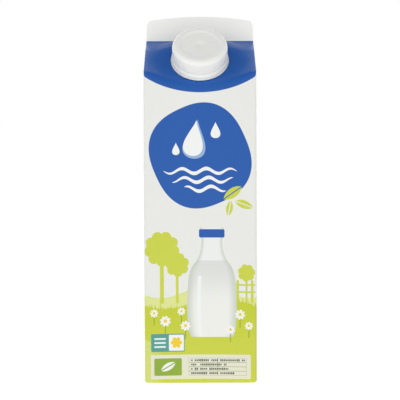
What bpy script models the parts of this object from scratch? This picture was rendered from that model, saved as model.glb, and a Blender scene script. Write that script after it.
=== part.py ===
"""A one-litre gable-top milk carton with a screw cap on the slope of its front.

The carton stands on the ground plane with the middle of its base at the origin. Its height
is along +Z, and its front, the side with the cap, faces -Y. All lengths are in metres.
"""
import math

import bmesh
import bpy
from mathutils import Vector

# Driving sizes of the carton
WIDTH = 0.070                # side of the square base
FOLD_HEIGHT = 0.1933         # where the roof starts at the four corners
FIN_BASE = 0.2139            # where the roof panels meet and the fin starts
FIN_TOP = 0.2296             # top of the fin, at the middle of its arch
FIN_THICKNESS = 0.0020       # four layers of board
BOARD = 0.00045              # one layer of board
CORNER_RADIUS = 0.0020       # vertical edges of the body
CORNER_TIP_RADIUS = 0.0005   # the same edges where they reach the fold
CORNER_TAPER = 0.05          # share of the height over which the radius shrinks to the tip
BOTTOM_RADIUS = 0.0015       # edge round the base

# The curved crease that parts the front panel from the front roof panel
CREASE_DROP = 0.0081         # how far its middle lies below its ends
CREASE_FORWARD = 0.0020      # how far its middle stands in front of its ends

# How far the milk pushes the flat panels out
FRONT_BULGE = 0.0012
SIDE_BULGE = 0.0010
SIDE_BULGE_LIFT = 1.25       # above 1 the sides are fullest above their middle

# How far each side is drawn in
BASE_PINCH = 0.0002          # at the base
BASE_PINCH_RUN = 0.50        # share of the height over which this fades
FOLD_PINCH = 0.00028         # at the top fold

# The roof panels are bent: steep from the crease, flatter near the fin
BEND_PLACE = 0.70            # where the bend is, as a share of the way up
BEND_SHARPNESS = 12.0
FRONT_BOW = 0.0045           # how far the bend stands out in the middle of the front
EDGE_BOW = 0.0010            # the same at the side edges
BACK_BOW = 0.0016            # and in the middle of the back

# The fin's outline
FIN_LEAN = 0.030             # how fast the roof and the fin narrow with height
FIN_ARCH = 0.0029            # rise of the fin's top edge from its ends to its middle
FIN_CORNER_RADIUS = 0.0045

# The folded-in sides of the roof
GUSSET_LIP = 0.0004          # the fold's own height above the side panel
GUSSET_TIP_GAP = 0.0006      # half the board left between the two folded tips
GUSSET_REACH = 1.20          # the cut runs on past the carton's side by this factor

# The spout, the band and the cap share one axis, square to the steep part of the roof
SPOUT_PLACE = Vector((0.0, -0.0225, 0.2004))
SPOUT_TILT = math.radians(46.5)
SEAT_RADIUS = 0.0184         # the board is flat this far round the spout
SEAT_BLEND = 0.0145          # and runs into the bent roof over this width
SEAT_LIMIT = FIN_BASE - 0.00015   # it isn't drawn up past this height
SEAT_SOFTNESS = 0.00015
SEAM_GAP = 0.0003            # gap between one piece and the next along the axis

FLANGE_RADIUS = 0.0181
FLANGE_TOP = 0.0013
FLANGE_CHAMFER = 0.0004
NECK_RADIUS = 0.0150
BAND_TOP = 0.0042
BAND_FOOT_RADIUS = 0.0179
BAND_TOP_RADIUS = 0.0174
BAND_CHAMFER = 0.0003
CAP_RADIUS = 0.0172
CAP_TOP = 0.0142
CAP_EDGE_RADIUS = 0.0032
CAP_FOOT_CHAMFER = 0.0004
DISH_RADIUS = 0.0122
DISH_SLOPE = 0.0010
DISH_DEPTH = 0.0005
RIB_COUNT = 72
RIB_DEPTH = 0.0002

# How finely the surfaces are divided
CORNER_STEPS = 3
FRONT_STEPS = 20
SIDE_STEPS = 12
BODY_STEPS = 12
ROOF_STEPS = 12
FIN_STEPS = 2
BOTTOM_STEPS = 3
TURN_STEPS_PER_RIB = 3
PLAIN_TURN_STEPS = 96
EDGE_STEPS = 5

HALF = WIDTH / 2.0
HALF_FIN = FIN_THICKNESS / 2.0
WELD = 1e-6
SMOOTH_ANGLE = math.radians(35.0)

FRONT = -1.0
BACK = 1.0


def clear_scene():
    for thing in list(bpy.data.objects):
        bpy.data.objects.remove(thing, do_unlink=True)


def linear(channel):
    """One sRGB channel, 0 to 255, as the linear value that a shader takes."""
    value = channel / 255.0
    if value <= 0.04045:
        return value / 12.92
    return ((value + 0.055) / 1.055) ** 2.4


def make_material(name, colour, roughness, metallic=0.0):
    material = bpy.data.materials.new(name)
    material.use_nodes = True
    shader = material.node_tree.nodes["Principled BSDF"]
    shader.inputs["Base Color"].default_value = tuple(linear(c) for c in colour) + (1.0,)
    shader.inputs["Roughness"].default_value = roughness
    shader.inputs["Metallic"].default_value = metallic
    return material


def make_object(name, mesh_builder, material, parent=None):
    """Turns a finished bmesh into a named object with one material."""
    mesh = bpy.data.meshes.new(name)
    mesh_builder.to_mesh(mesh)
    mesh_builder.free()
    mesh.shade_smooth()
    mesh.set_sharp_from_angle(angle=SMOOTH_ANGLE)
    mesh.materials.append(material)
    thing = bpy.data.objects.new(name, mesh)
    bpy.context.scene.collection.objects.link(thing)
    thing.parent = parent
    return thing


def smooth_step(value):
    """0 below 0, 1 above 1, and an S-shaped run between."""
    value = min(max(value, 0.0), 1.0)
    return value * value * (3.0 - 2.0 * value)


def half_width(height):
    """Half the width of the roof and fin at a height above the fold."""
    return HALF - FOLD_PINCH - FIN_LEAN * max(height - FOLD_HEIGHT, 0.0)


def waist(level):
    """Share of its full width that the body has at a share of its height."""
    at_base = BASE_PINCH * (1.0 - smooth_step(level / BASE_PINCH_RUN))
    at_fold = FOLD_PINCH * smooth_step((level - (1.0 - CORNER_TAPER)) / CORNER_TAPER)
    return 1.0 - (at_base + at_fold) / HALF


def crease_height(x, side):
    """Height of the top crease. The back's is straight, the front's is an arc of a circle."""
    if side == BACK:
        return FOLD_HEIGHT
    radius = (HALF ** 2 + CREASE_DROP ** 2) / (2.0 * CREASE_DROP)
    sag = math.sqrt(radius ** 2 - x ** 2) - (radius - CREASE_DROP)
    return FOLD_HEIGHT - sag


def body_heights():
    """Rows of the body as shares of its height: the rounded bottom edge, then even steps."""
    rounded = []
    for step in range(BOTTOM_STEPS + 1):
        angle = math.radians(90.0) * step / BOTTOM_STEPS
        rounded.append(BOTTOM_RADIUS * (1.0 - math.cos(angle)) / FOLD_HEIGHT)
    even = [step / BODY_STEPS for step in range(1, BODY_STEPS)]
    taper_start = 1.0 - CORNER_TAPER
    return rounded + even + [taper_start, (1.0 + taper_start) / 2.0, 1.0]


def bottom_inset(level):
    """How far the rounded bottom edge draws the outline in, at a share of the height."""
    height = level * FOLD_HEIGHT
    if height >= BOTTOM_RADIUS:
        return 0.0
    rise = BOTTOM_RADIUS - height
    return BOTTOM_RADIUS - math.sqrt(max(BOTTOM_RADIUS ** 2 - rise ** 2, 0.0))


def corner_radius(level):
    shrink = smooth_step((level - (1.0 - CORNER_TAPER)) / CORNER_TAPER)
    return CORNER_RADIUS - (CORNER_RADIUS - CORNER_TIP_RADIUS) * shrink


def broad_outline(level, side):
    """Plan of the front or back: a corner arc, the panel, and the other corner arc."""
    radius = corner_radius(level)
    reach = HALF - radius
    points = []
    for step in range(CORNER_STEPS):
        angle = math.radians(90.0) * step / CORNER_STEPS
        points.append((-reach - radius * math.cos(angle), reach + radius * math.sin(angle)))
    for step in range(FRONT_STEPS + 1):
        share = 2.0 * step / FRONT_STEPS - 1.0
        points.append((reach * math.sin(math.radians(90.0) * share), HALF))
    for step in range(1, CORNER_STEPS + 1):
        angle = math.radians(90.0) * step / CORNER_STEPS
        points.append((reach + radius * math.sin(angle), reach + radius * math.cos(angle)))
    return [(x, side * y) for x, y in points]


def panel_swell(across, level, bulge):
    """Bulge of a panel: none at its edges, most in the middle."""
    return bulge * (1.0 - across ** 2) * math.sin(math.pi * min(level, 1.0))


def body_point(x, y, level, side):
    """A point of the front or back panel, at a share of the way up to the crease."""
    shrink = 1.0 - bottom_inset(level) / HALF
    across = x / HALF
    swell = panel_swell(across, level, FRONT_BULGE)
    if side == FRONT:
        swell += CREASE_FORWARD * (1.0 - across ** 2) * level ** 3
    height = crease_height(x, side) * level
    return Vector((x * shrink * waist(level), y * shrink + side * swell, height))


def bend(share):
    """Outline of the bent roof between 0 at the crease and 0 at the fin, 1 at the bend."""
    rise = share / BEND_PLACE
    fall = (1.0 - share) / (1.0 - BEND_PLACE)
    lesser = math.exp(-BEND_SHARPNESS * rise) + math.exp(-BEND_SHARPNESS * fall)
    return -math.log(lesser) / BEND_SHARPNESS


def settle_on_seat(point):
    """Draws a point of the roof onto the flat seat round the spout."""
    normal = Vector((0.0, -math.sin(SPOUT_TILT), math.cos(SPOUT_TILT)))
    offset = point - SPOUT_PLACE
    lift = offset.dot(normal)
    distance = (offset - normal * lift).length
    weight = 1.0 - smooth_step((distance - SEAT_RADIUS) / SEAT_BLEND)
    move = normal * -lift * weight
    if move.z > 0.0:
        room = max(SEAT_LIMIT - point.z, 0.0)
        most = math.exp(-move.z / SEAT_SOFTNESS) + math.exp(-room / SEAT_SOFTNESS)
        move *= max(-SEAT_SOFTNESS * math.log(most), 0.0) / move.z
    return point + move


def roof_point(x, y, share, side):
    """A point of a roof panel, at a share of the way from the crease to the fin."""
    start = body_point(x, y, 1.0, side)
    start.x = x
    end = Vector((x, side * HALF_FIN, FIN_BASE))
    chord = end - start
    outward = Vector((0.0, side * chord.z, -side * chord.y)).normalized()
    across = x / HALF
    middle_bow = FRONT_BOW if side == FRONT else BACK_BOW
    bow = middle_bow * (1.0 - across ** 2) + EDGE_BOW * across ** 2
    point = start + chord * share + outward * bow * bend(share)
    if side == FRONT and 0.0 < share < 1.0:
        point = settle_on_seat(point)
    point.x *= half_width(point.z) / HALF
    return point


def fin_top_height(x):
    """Height of the fin's top edge, an arch that turns down round the corners."""
    across = abs(x) / HALF
    height = FIN_TOP - FIN_ARCH * across ** 2
    past_corner = abs(x) - (HALF - FIN_CORNER_RADIUS)
    if past_corner > 0.0:
        rest = max(FIN_CORNER_RADIUS ** 2 - past_corner ** 2, 0.0)
        height -= FIN_CORNER_RADIUS - math.sqrt(rest)
    return height


def fin_point(x, share, side):
    height = FIN_BASE + (fin_top_height(x) - FIN_BASE) * share
    return Vector((x * half_width(height) / HALF, side * HALF_FIN, height))


def broad_rows(side):
    """Every row of the front or back, from the base up to the top of the fin."""
    rows = []
    for level in body_heights():
        outline = broad_outline(level, side)
        rows.append([body_point(x, y, level, side) for x, y in outline])
    top_outline = broad_outline(1.0, side)
    for step in range(1, ROOF_STEPS + 1):
        share = step / ROOF_STEPS
        rows.append([roof_point(x, y, share, side) for x, y in top_outline])
    for step in range(1, FIN_STEPS + 1):
        share = step / FIN_STEPS
        rows.append([fin_point(x, share, side) for x, y in top_outline])
    return rows


def side_rows(side):
    """Every row of a side panel, from the base up to its fold."""
    rows = []
    for level in body_heights():
        inset = bottom_inset(level)
        shrink = 1.0 - inset / HALF
        reach = HALF - corner_radius(level)
        row = []
        for step in range(SIDE_STEPS + 1):
            across = 2.0 * step / SIDE_STEPS - 1.0
            swell = panel_swell(across, level ** SIDE_BULGE_LIFT, SIDE_BULGE)
            x = side * (HALF + swell - inset) * waist(level)
            row.append(Vector((x, across * reach * shrink, FOLD_HEIGHT * level)))
        rows.append(row)
    return rows


def add_panel(builder, rows):
    """Lays a grid over rows of points, and returns the edges of its last row."""
    columns = len(rows[0])
    made = bmesh.ops.create_grid(
        builder, x_segments=columns - 1, y_segments=len(rows) - 1, size=0.5)
    grid = sorted(made["verts"], key=lambda vertex: (round(vertex.co.y, 5), vertex.co.x))
    for index, vertex in enumerate(grid):
        vertex.co = rows[index // columns][index % columns]
    last = set(grid[-columns:])
    return [edge for edge in builder.edges if edge.verts[0] in last and edge.verts[1] in last]


def carton_block():
    """The carton with its roof still full at the sides."""
    builder = bmesh.new()
    top_edges = add_panel(builder, broad_rows(FRONT))
    top_edges += add_panel(builder, broad_rows(BACK))
    bmesh.ops.bridge_loops(builder, edges=top_edges)
    for side in (-1.0, 1.0):
        add_panel(builder, side_rows(side))
    bmesh.ops.remove_doubles(builder, verts=builder.verts, dist=WELD)
    open_edges = [edge for edge in builder.edges if edge.is_boundary]
    bmesh.ops.holes_fill(builder, edges=open_edges, sides=0)
    bmesh.ops.recalc_face_normals(builder, faces=builder.faces)
    return builder


def gusset_cutter(name, side):
    """The space outside a folded-in side of the roof: the side triangle leans inwards to a
    tip under the fin, and its two flaps lie flat under the roof panels."""
    slope = math.atan2(FIN_BASE - FOLD_HEIGHT, HALF - HALF_FIN)
    under_roof = 2.0 * BOARD / math.cos(slope)
    ridge = FIN_BASE + HALF_FIN * math.tan(slope) - under_roof
    floor = FOLD_HEIGHT + GUSSET_LIP
    reach = (ridge - floor) / math.tan(slope)
    tip = Vector((side * GUSSET_TIP_GAP, 0.0, ridge))
    corners = [
        Vector((side * HALF, -reach, floor)),
        Vector((side * HALF, reach, floor)),
        Vector((side * HALF, 0.0, ridge)),
    ]
    builder = bmesh.new()
    points = [tip] + [tip + (corner - tip) * GUSSET_REACH for corner in corners]
    for point in points:
        builder.verts.new(point)
    bmesh.ops.convex_hull(builder, input=builder.verts)
    bmesh.ops.recalc_face_normals(builder, faces=builder.faces)
    mesh = bpy.data.meshes.new(name)
    builder.to_mesh(mesh)
    builder.free()
    cutter = bpy.data.objects.new(name, mesh)
    bpy.context.scene.collection.objects.link(cutter)
    cutter.hide_render = True
    cutter.display_type = "WIRE"
    return cutter


def make_carton():
    board = make_material("coated_board", (232, 233, 228), 0.42)
    carton = make_object("carton", carton_block(), board)
    for name, side in (("gusset_cutter_left", -1.0), ("gusset_cutter_right", 1.0)):
        cut = carton.modifiers.new(name, "BOOLEAN")
        cut.operation = "DIFFERENCE"
        cut.solver = "EXACT"
        cut.object = gusset_cutter(name, side)
    return carton


def make_spout_axis():
    """An empty on the roof whose +Z is the way the cap unscrews."""
    axis = bpy.data.objects.new("spout_axis", None)
    axis.empty_display_size = FLANGE_RADIUS
    axis.location = SPOUT_PLACE
    axis.rotation_euler = (SPOUT_TILT, 0.0, 0.0)
    bpy.context.scene.collection.objects.link(axis)
    return axis


def turned(profile, steps, closed=False):
    """Turns a profile of (radius, height) points round the Z axis into a closed body."""
    builder = bmesh.new()
    points = [builder.verts.new((radius, 0.0, height)) for radius, height in profile]
    pairs = list(zip(points, points[1:]))
    if closed:
        pairs.append((points[-1], points[0]))
    edges = [builder.edges.new(pair) for pair in pairs]
    bmesh.ops.spin(
        builder, geom=points + edges, cent=(0.0, 0.0, 0.0), axis=(0.0, 0.0, 1.0),
        dvec=(0.0, 0.0, 0.0), angle=math.tau, steps=steps, use_merge=True,
        use_duplicate=False)
    bmesh.ops.remove_doubles(builder, verts=builder.verts, dist=WELD)
    bmesh.ops.recalc_face_normals(builder, faces=builder.faces)
    return builder


def make_spout(axis):
    """The flange that shows at the foot of the cap, with the neck that carries the cap."""
    profile = [
        (0.0, SEAM_GAP),
        (FLANGE_RADIUS, SEAM_GAP),
        (FLANGE_RADIUS, FLANGE_TOP - FLANGE_CHAMFER),
        (FLANGE_RADIUS - FLANGE_CHAMFER, FLANGE_TOP),
        (NECK_RADIUS, FLANGE_TOP),
        (NECK_RADIUS, BAND_TOP),
        (0.0, BAND_TOP),
    ]
    plastic = make_material("spout_plastic", (226, 227, 223), 0.38)
    return make_object("spout", turned(profile, PLAIN_TURN_STEPS), plastic, axis)


def make_tamper_band(axis):
    """The ring that stays on the spout when the cap is first unscrewed."""
    foot = FLANGE_TOP + SEAM_GAP
    inner = NECK_RADIUS + SEAM_GAP
    profile = [
        (inner, foot),
        (BAND_FOOT_RADIUS, foot),
        (BAND_TOP_RADIUS, BAND_TOP - BAND_CHAMFER),
        (BAND_TOP_RADIUS - BAND_CHAMFER, BAND_TOP),
        (inner, BAND_TOP),
    ]
    plastic = make_material("band_plastic", (227, 228, 225), 0.35)
    return make_object("tamper_band", turned(profile, PLAIN_TURN_STEPS, closed=True),
                       plastic, axis)


def cap_profile():
    """Outline of the cap from the middle of its foot to the middle of its dished top."""
    foot = BAND_TOP + SEAM_GAP
    profile = [
        (0.0, foot),
        (CAP_RADIUS - CAP_FOOT_CHAMFER, foot),
        (CAP_RADIUS, foot + CAP_FOOT_CHAMFER),
    ]
    centre_radius = CAP_RADIUS - CAP_EDGE_RADIUS
    centre_height = CAP_TOP - CAP_EDGE_RADIUS
    for step in range(EDGE_STEPS + 1):
        angle = math.radians(90.0) * step / EDGE_STEPS
        profile.append((centre_radius + CAP_EDGE_RADIUS * math.cos(angle),
                        centre_height + CAP_EDGE_RADIUS * math.sin(angle)))
    profile += [
        (DISH_RADIUS, CAP_TOP),
        (DISH_RADIUS - DISH_SLOPE, CAP_TOP - DISH_DEPTH),
        (0.0, CAP_TOP - DISH_DEPTH),
    ]
    return profile


def make_cap(axis):
    """The screw cap: a ribbed skirt, a rounded edge and a shallow dish in its top."""
    steps = RIB_COUNT * TURN_STEPS_PER_RIB
    builder = turned(cap_profile(), steps)
    for vertex in builder.verts:
        radius = vertex.co.xy.length
        on_skirt = radius > CAP_RADIUS - CAP_FOOT_CHAMFER - WELD
        below_edge = vertex.co.z < CAP_TOP - CAP_EDGE_RADIUS + WELD
        turn = math.atan2(vertex.co.y, vertex.co.x) / math.tau
        step = round(turn * steps) % TURN_STEPS_PER_RIB
        if on_skirt and below_edge and step >= TURN_STEPS_PER_RIB // 2:
            vertex.co.xy = vertex.co.xy * ((radius - RIB_DEPTH) / radius)
    plastic = make_material("cap_plastic", (228, 229, 227), 0.33)
    return make_object("cap", builder, plastic, axis)


def main():
    clear_scene()
    make_carton()
    axis = make_spout_axis()
    make_spout(axis)
    make_tamper_band(axis)
    make_cap(axis)


main()
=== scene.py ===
# %% [markdown]
# # The looks of a gable-top milk carton
#
# The CAD model already has the carton's true size and place. This lesson gives it its looks:
# a board body with soft creases and layered board edges, moulded plastic round the spout,
# a print of plain fields and simple shapes, and the light of a pack shot. Everything is in
# metres, with the front of the carton facing -Y.

# %% Load the frame
import math

import bmesh
import bpy
from mathutils import Matrix, Vector, noise


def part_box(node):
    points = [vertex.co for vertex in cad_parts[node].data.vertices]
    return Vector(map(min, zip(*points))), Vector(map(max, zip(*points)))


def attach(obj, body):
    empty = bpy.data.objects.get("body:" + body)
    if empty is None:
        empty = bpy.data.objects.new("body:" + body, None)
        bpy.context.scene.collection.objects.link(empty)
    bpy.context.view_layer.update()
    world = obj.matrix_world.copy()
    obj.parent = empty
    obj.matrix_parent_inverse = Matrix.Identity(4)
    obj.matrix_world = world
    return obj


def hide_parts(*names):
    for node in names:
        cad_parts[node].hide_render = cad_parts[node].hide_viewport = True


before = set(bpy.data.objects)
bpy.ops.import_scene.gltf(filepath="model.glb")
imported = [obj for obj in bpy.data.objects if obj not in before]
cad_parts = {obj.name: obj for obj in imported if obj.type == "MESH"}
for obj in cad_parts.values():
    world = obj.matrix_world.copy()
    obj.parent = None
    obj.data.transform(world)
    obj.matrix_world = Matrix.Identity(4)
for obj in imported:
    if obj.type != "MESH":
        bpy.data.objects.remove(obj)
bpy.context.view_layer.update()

# %% [markdown]
# ## Sizes
#
# A carton is one flat blank, folded. Its creases decide every surface, so the sizes of the
# creases come first, and the surfaces are worked out from them. They are the same sizes that
# the CAD model was made from, so the new surfaces lie where the old ones did.

# %% Sizes of the folded board
MM = 0.001
HALF = 35.0 * MM
FOLD_HEIGHT = 193.3 * MM
FIN_BASE = 213.9 * MM
FIN_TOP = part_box("carton")[1].z
HALF_FIN = 1.0 * MM
BOARD = 0.45 * MM
CORNER_RADIUS = 2.0 * MM
CORNER_TIP_RADIUS = 0.5 * MM
CORNER_TAPER = 0.05
BOTTOM_RADIUS = 1.5 * MM
CREASE_DROP = 8.1 * MM
CREASE_FORWARD = 2.0 * MM
FRONT_BULGE = 1.2 * MM
SIDE_BULGE = 0.95 * MM
SIDE_BULGE_LIFT = 1.25
BASE_PINCH = 0.2 * MM
BASE_PINCH_RUN = 0.50
FOLD_PINCH = 0.28 * MM
BEND_PLACE = 0.70
BEND_SHARPNESS = 12.0
FRONT_BOW = 4.5 * MM
EDGE_BOW = 1.0 * MM
BACK_BOW = 1.6 * MM
FIN_LEAN = 0.030
FIN_ARCH = 2.8 * MM
FIN_CORNER_RADIUS = 3.2 * MM
TIP_GAP = 0.6 * MM
SPOUT_PLACE = Vector((0.0, -22.5 * MM, 200.4 * MM))
SPOUT_TILT = math.radians(46.5)
SEAT_RADIUS = 18.4 * MM
SEAT_BLEND = 14.5 * MM
SEAT_LIMIT = FIN_BASE - 0.15 * MM
SEAT_SOFTNESS = 0.15 * MM

roof_slope = math.atan2(FIN_BASE - FOLD_HEIGHT, HALF - HALF_FIN)
RIDGE = FIN_BASE + HALF_FIN * math.tan(roof_slope) - 2.0 * BOARD / math.cos(roof_slope)
print("roof slope at the side edges:", round(math.degrees(roof_slope), 1), "degrees")

# %% Small helpers for shapes
FRONT = -1.0
BACK = 1.0


def smooth_step(value):
    value = min(max(value, 0.0), 1.0)
    return value * value * (3.0 - 2.0 * value)


def finish_piece(name, builder, materials, smooth_angle):
    """Makes an object of a bmesh, with its place in its mesh, and lets it ride on the body."""
    mesh = bpy.data.meshes.new(name)
    builder.to_mesh(mesh)
    builder.free()
    mesh.shade_smooth()
    mesh.set_sharp_from_angle(angle=math.radians(smooth_angle))
    for material in materials:
        mesh.materials.append(material)
    piece = bpy.data.objects.new(name, mesh)
    bpy.context.scene.collection.objects.link(piece)
    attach(piece, "root")
    print(name, "has", len(mesh.polygons), "faces")
    return piece


# %% [markdown]
# ## The board body
#
# The real body is one sheet of coated board. It could be a box with its top edges squeezed
# together, but then the curved front crease, the bent roof and the folded-in sides would all
# be guesses. Here each panel is a grid, and each row of a grid is a line across the board at
# some height. The creases are short curves between two panels, so light runs over them as it
# does over scored board.

# %% How finely the board is divided
CORNER_STEPS = 5
PANEL_STEPS = 48
SIDE_STEPS = 30
BODY_STEPS = 56
BOTTOM_STEPS = 4
CREASE_STEPS = 8
ROOF_STEPS = 22
FIN_CREASE_STEPS = 4
FIN_STEPS = 8
FLAP_STEPS = 6
LAYER_STEPS = 4
PAIR_STEPS = 2 * LAYER_STEPS
THICKNESS_STEPS = 4 * LAYER_STEPS

FOLD_ROW = BOTTOM_STEPS + BODY_STEPS + CREASE_STEPS // 2
ROOF_ROW = FOLD_ROW + CREASE_STEPS // 2 + ROOF_STEPS + FIN_CREASE_STEPS // 2

PANEL_REACH = HALF - CORNER_RADIUS
CORNER_LENGTH = CORNER_RADIUS * math.radians(90.0)
PANEL_PITCH = 2.0 * PANEL_REACH + CORNER_LENGTH
print("one panel of the blank is", round(PANEL_PITCH / MM, 2), "mm wide")


# %% Plan of the body, and how it changes with height
def corner_radius(level):
    shrink = smooth_step((level - (1.0 - CORNER_TAPER)) / CORNER_TAPER)
    return CORNER_RADIUS - (CORNER_RADIUS - CORNER_TIP_RADIUS) * shrink


def broad_outline(level):
    """Plan of the front or back as (x, distance from the middle, place across the blank)."""
    radius = corner_radius(level)
    reach = HALF - radius
    points = []
    for step in range(CORNER_STEPS):
        angle = math.radians(90.0) * step / CORNER_STEPS
        across = -PANEL_REACH - CORNER_LENGTH * (1.0 - step / CORNER_STEPS)
        points.append((-reach - radius * math.cos(angle), reach + radius * math.sin(angle), across))
    for step in range(PANEL_STEPS + 1):
        share = math.sin(math.radians(90.0) * (2.0 * step / PANEL_STEPS - 1.0))
        points.append((reach * share, HALF, PANEL_REACH * share))
    for step in range(1, CORNER_STEPS + 1):
        angle = math.radians(90.0) * step / CORNER_STEPS
        across = PANEL_REACH + CORNER_LENGTH * step / CORNER_STEPS
        points.append((reach + radius * math.sin(angle), reach + radius * math.cos(angle), across))
    return points


def crease_height(x, side):
    """The back crease is straight. The front one is an arc of a circle, lowest in the middle."""
    if side == BACK:
        return FOLD_HEIGHT
    radius = (HALF ** 2 + CREASE_DROP ** 2) / (2.0 * CREASE_DROP)
    sag = math.sqrt(radius ** 2 - x ** 2) - (radius - CREASE_DROP)
    return FOLD_HEIGHT - sag


def half_width(height):
    """Half the width of the roof and the fin, which narrow a little with height."""
    return HALF - FOLD_PINCH - FIN_LEAN * max(height - FOLD_HEIGHT, 0.0)


def waist(level):
    """Share of its full width that the body has at a share of its height."""
    at_base = BASE_PINCH * (1.0 - smooth_step(level / BASE_PINCH_RUN))
    at_fold = FOLD_PINCH * smooth_step((level - (1.0 - CORNER_TAPER)) / CORNER_TAPER)
    return 1.0 - (at_base + at_fold) / HALF


def bottom_inset(level):
    rise = BOTTOM_RADIUS - level * FOLD_HEIGHT
    if rise <= 0.0:
        return 0.0
    return BOTTOM_RADIUS - math.sqrt(max(BOTTOM_RADIUS ** 2 - rise ** 2, 0.0))


RIPPLE = 0.22 * MM
RIPPLE_ACROSS = 1.3
RIPPLE_UP = 4.0


def panel_swell(across, level, bulge, seed):
    """The milk pushes a panel out in the middle, and the board is never quite even."""
    hold = (1.0 - across ** 2) * math.sin(math.pi * min(level, 1.0))
    ripple = noise.noise(Vector((across * RIPPLE_ACROSS, level * RIPPLE_UP, seed)))
    return hold * (bulge + RIPPLE * ripple)


print("columns across the front:", len(broad_outline(0.5)))


# %% [markdown]
# The roof panel is bent. Pressed towards the fin while the spout holds it flat lower down, it
# is steep at first and then flattens. A circle or a spline would do for the bend, but two
# straight runs with a soft corner are nearer to how board gives. Round the spout the board
# is flat, as the spout is welded to it.


# %% Points of the front, the back and the roof
def body_point(x, depth, level, side):
    shrink = 1.0 - bottom_inset(level) / HALF
    across = x / HALF
    swell = panel_swell(across, level, FRONT_BULGE - RIPPLE, side)
    if side == FRONT:
        swell += CREASE_FORWARD * (1.0 - across ** 2) * level ** 3
    y = side * (depth * shrink + swell)
    return Vector((x * shrink * waist(level), y, crease_height(x, side) * level))


def bend(share):
    rise = share / BEND_PLACE
    fall = (1.0 - share) / (1.0 - BEND_PLACE)
    lesser = math.exp(-BEND_SHARPNESS * rise) + math.exp(-BEND_SHARPNESS * fall)
    return -math.log(lesser) / BEND_SHARPNESS


def settle_on_seat(point):
    normal = Vector((0.0, -math.sin(SPOUT_TILT), math.cos(SPOUT_TILT)))
    offset = point - SPOUT_PLACE
    lift = offset.dot(normal)
    distance = (offset - normal * lift).length
    weight = 1.0 - smooth_step((distance - SEAT_RADIUS) / SEAT_BLEND)
    move = normal * -lift * weight
    if move.z > 0.0:
        room = max(SEAT_LIMIT - point.z, 0.0)
        most = math.exp(-move.z / SEAT_SOFTNESS) + math.exp(-room / SEAT_SOFTNESS)
        move *= max(-SEAT_SOFTNESS * math.log(most), 0.0) / move.z
    return point + move


def roof_point(x, depth, share, side):
    start = body_point(x, depth, 1.0, side)
    start.x = x
    end = Vector((x, side * HALF_FIN, FIN_BASE))
    chord = end - start
    outward = Vector((0.0, side * chord.z, -side * chord.y)).normalized()
    across = x / HALF
    middle_bow = FRONT_BOW if side == FRONT else BACK_BOW
    bow = middle_bow * (1.0 - across ** 2) + EDGE_BOW * across ** 2
    point = start + chord * share + outward * bow * bend(share)
    if side == FRONT and 0.0 < share < 1.0:
        point = settle_on_seat(point)
    point.x *= half_width(point.z) / HALF
    return point


def fin_top_height(x):
    height = FIN_TOP - FIN_ARCH * (x / HALF) ** 2
    past_corner = abs(x) - (HALF - FIN_CORNER_RADIUS)
    if past_corner > 0.0:
        rest = max(FIN_CORNER_RADIUS ** 2 - past_corner ** 2, 0.0)
        height -= FIN_CORNER_RADIUS - math.sqrt(rest)
    return height


def fin_point(x, height, side):
    return Vector((x * half_width(height) / HALF, side * HALF_FIN, height))


middle = roof_point(0.0, HALF, 0.5, FRONT)
print("middle of the front roof:", tuple(round(v / MM, 1) for v in middle))

# %% [markdown]
# A crease is made by leaving the line where two panels meet and cutting its corner with a
# short curve. The curve is wide in the middle of the front, where the score is soft, and
# shrinks to almost nothing at the side edges, where the folds are tight.

# %% Soft creases
FRONT_CREASE_SOFTNESS = 4.5 * MM
BACK_CREASE_SOFTNESS = 1.6 * MM
TIP_SOFTNESS = 0.35 * MM
FIN_SOFTNESS = 0.9 * MM


def crease_softness(x, side):
    widest = FRONT_CREASE_SOFTNESS if side == FRONT else BACK_CREASE_SOFTNESS
    return TIP_SOFTNESS + (widest - TIP_SOFTNESS) * (1.0 - (x / HALF) ** 6)


def rounded(before, corner, after, steps):
    """Points of the short curve that runs from one panel to the next past their corner."""
    points = []
    for step in range(1, steps + 1):
        t = step / steps
        points.append(before.lerp(corner, t).lerp(corner.lerp(after, t), t))
    return points


def body_shares():
    """Rows of the body: the rounded bottom edge in small steps, then even ones."""
    rounded_edge = []
    for step in range(BOTTOM_STEPS):
        angle = math.radians(90.0) * step / BOTTOM_STEPS
        rounded_edge.append(BOTTOM_RADIUS * (1.0 - math.cos(angle)) / FOLD_HEIGHT)
    first = BOTTOM_RADIUS / FOLD_HEIGHT
    even = [first + (1.0 - first) * step / BODY_STEPS for step in range(BODY_STEPS + 1)]
    return rounded_edge + even


def broad_column(column, outlines, side):
    """One line up the front or back, from the base to the top of the fin."""
    x, depth, across = outlines[-1][column]
    softness = crease_softness(x, side)
    straight = 1.0 - softness / crease_height(x, side)
    points = []
    for share, outline in zip(body_shares(), outlines):
        points.append(body_point(outline[column][0], outline[column][1], share * straight, side))
    corner = body_point(x, depth, 1.0, side)
    roof_end = Vector((x * half_width(FIN_BASE) / HALF, side * HALF_FIN, FIN_BASE))
    length = (roof_end - corner).length
    roof_start = softness / length
    roof_stop = 1.0 - FIN_SOFTNESS / length
    points += rounded(points[-1], corner, roof_point(x, depth, roof_start, side), CREASE_STEPS)
    for step in range(1, ROOF_STEPS + 1):
        share = roof_start + (roof_stop - roof_start) * step / ROOF_STEPS
        points.append(roof_point(x, depth, share, side))
    fin_start = FIN_BASE + FIN_SOFTNESS
    points += rounded(points[-1], roof_end, fin_point(x, fin_start, side), FIN_CREASE_STEPS)
    top = fin_top_height(x)
    for step in range(1, FIN_STEPS + 1):
        height = fin_start + (top - fin_start) * step / FIN_STEPS
        points.append(fin_point(x, height, side))
    return points


def broad_rows(side):
    outlines = [broad_outline(share) for share in body_shares()]
    columns = [broad_column(column, outlines, side) for column in range(len(outlines[-1]))]
    return [list(row) for row in zip(*columns)]


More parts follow.
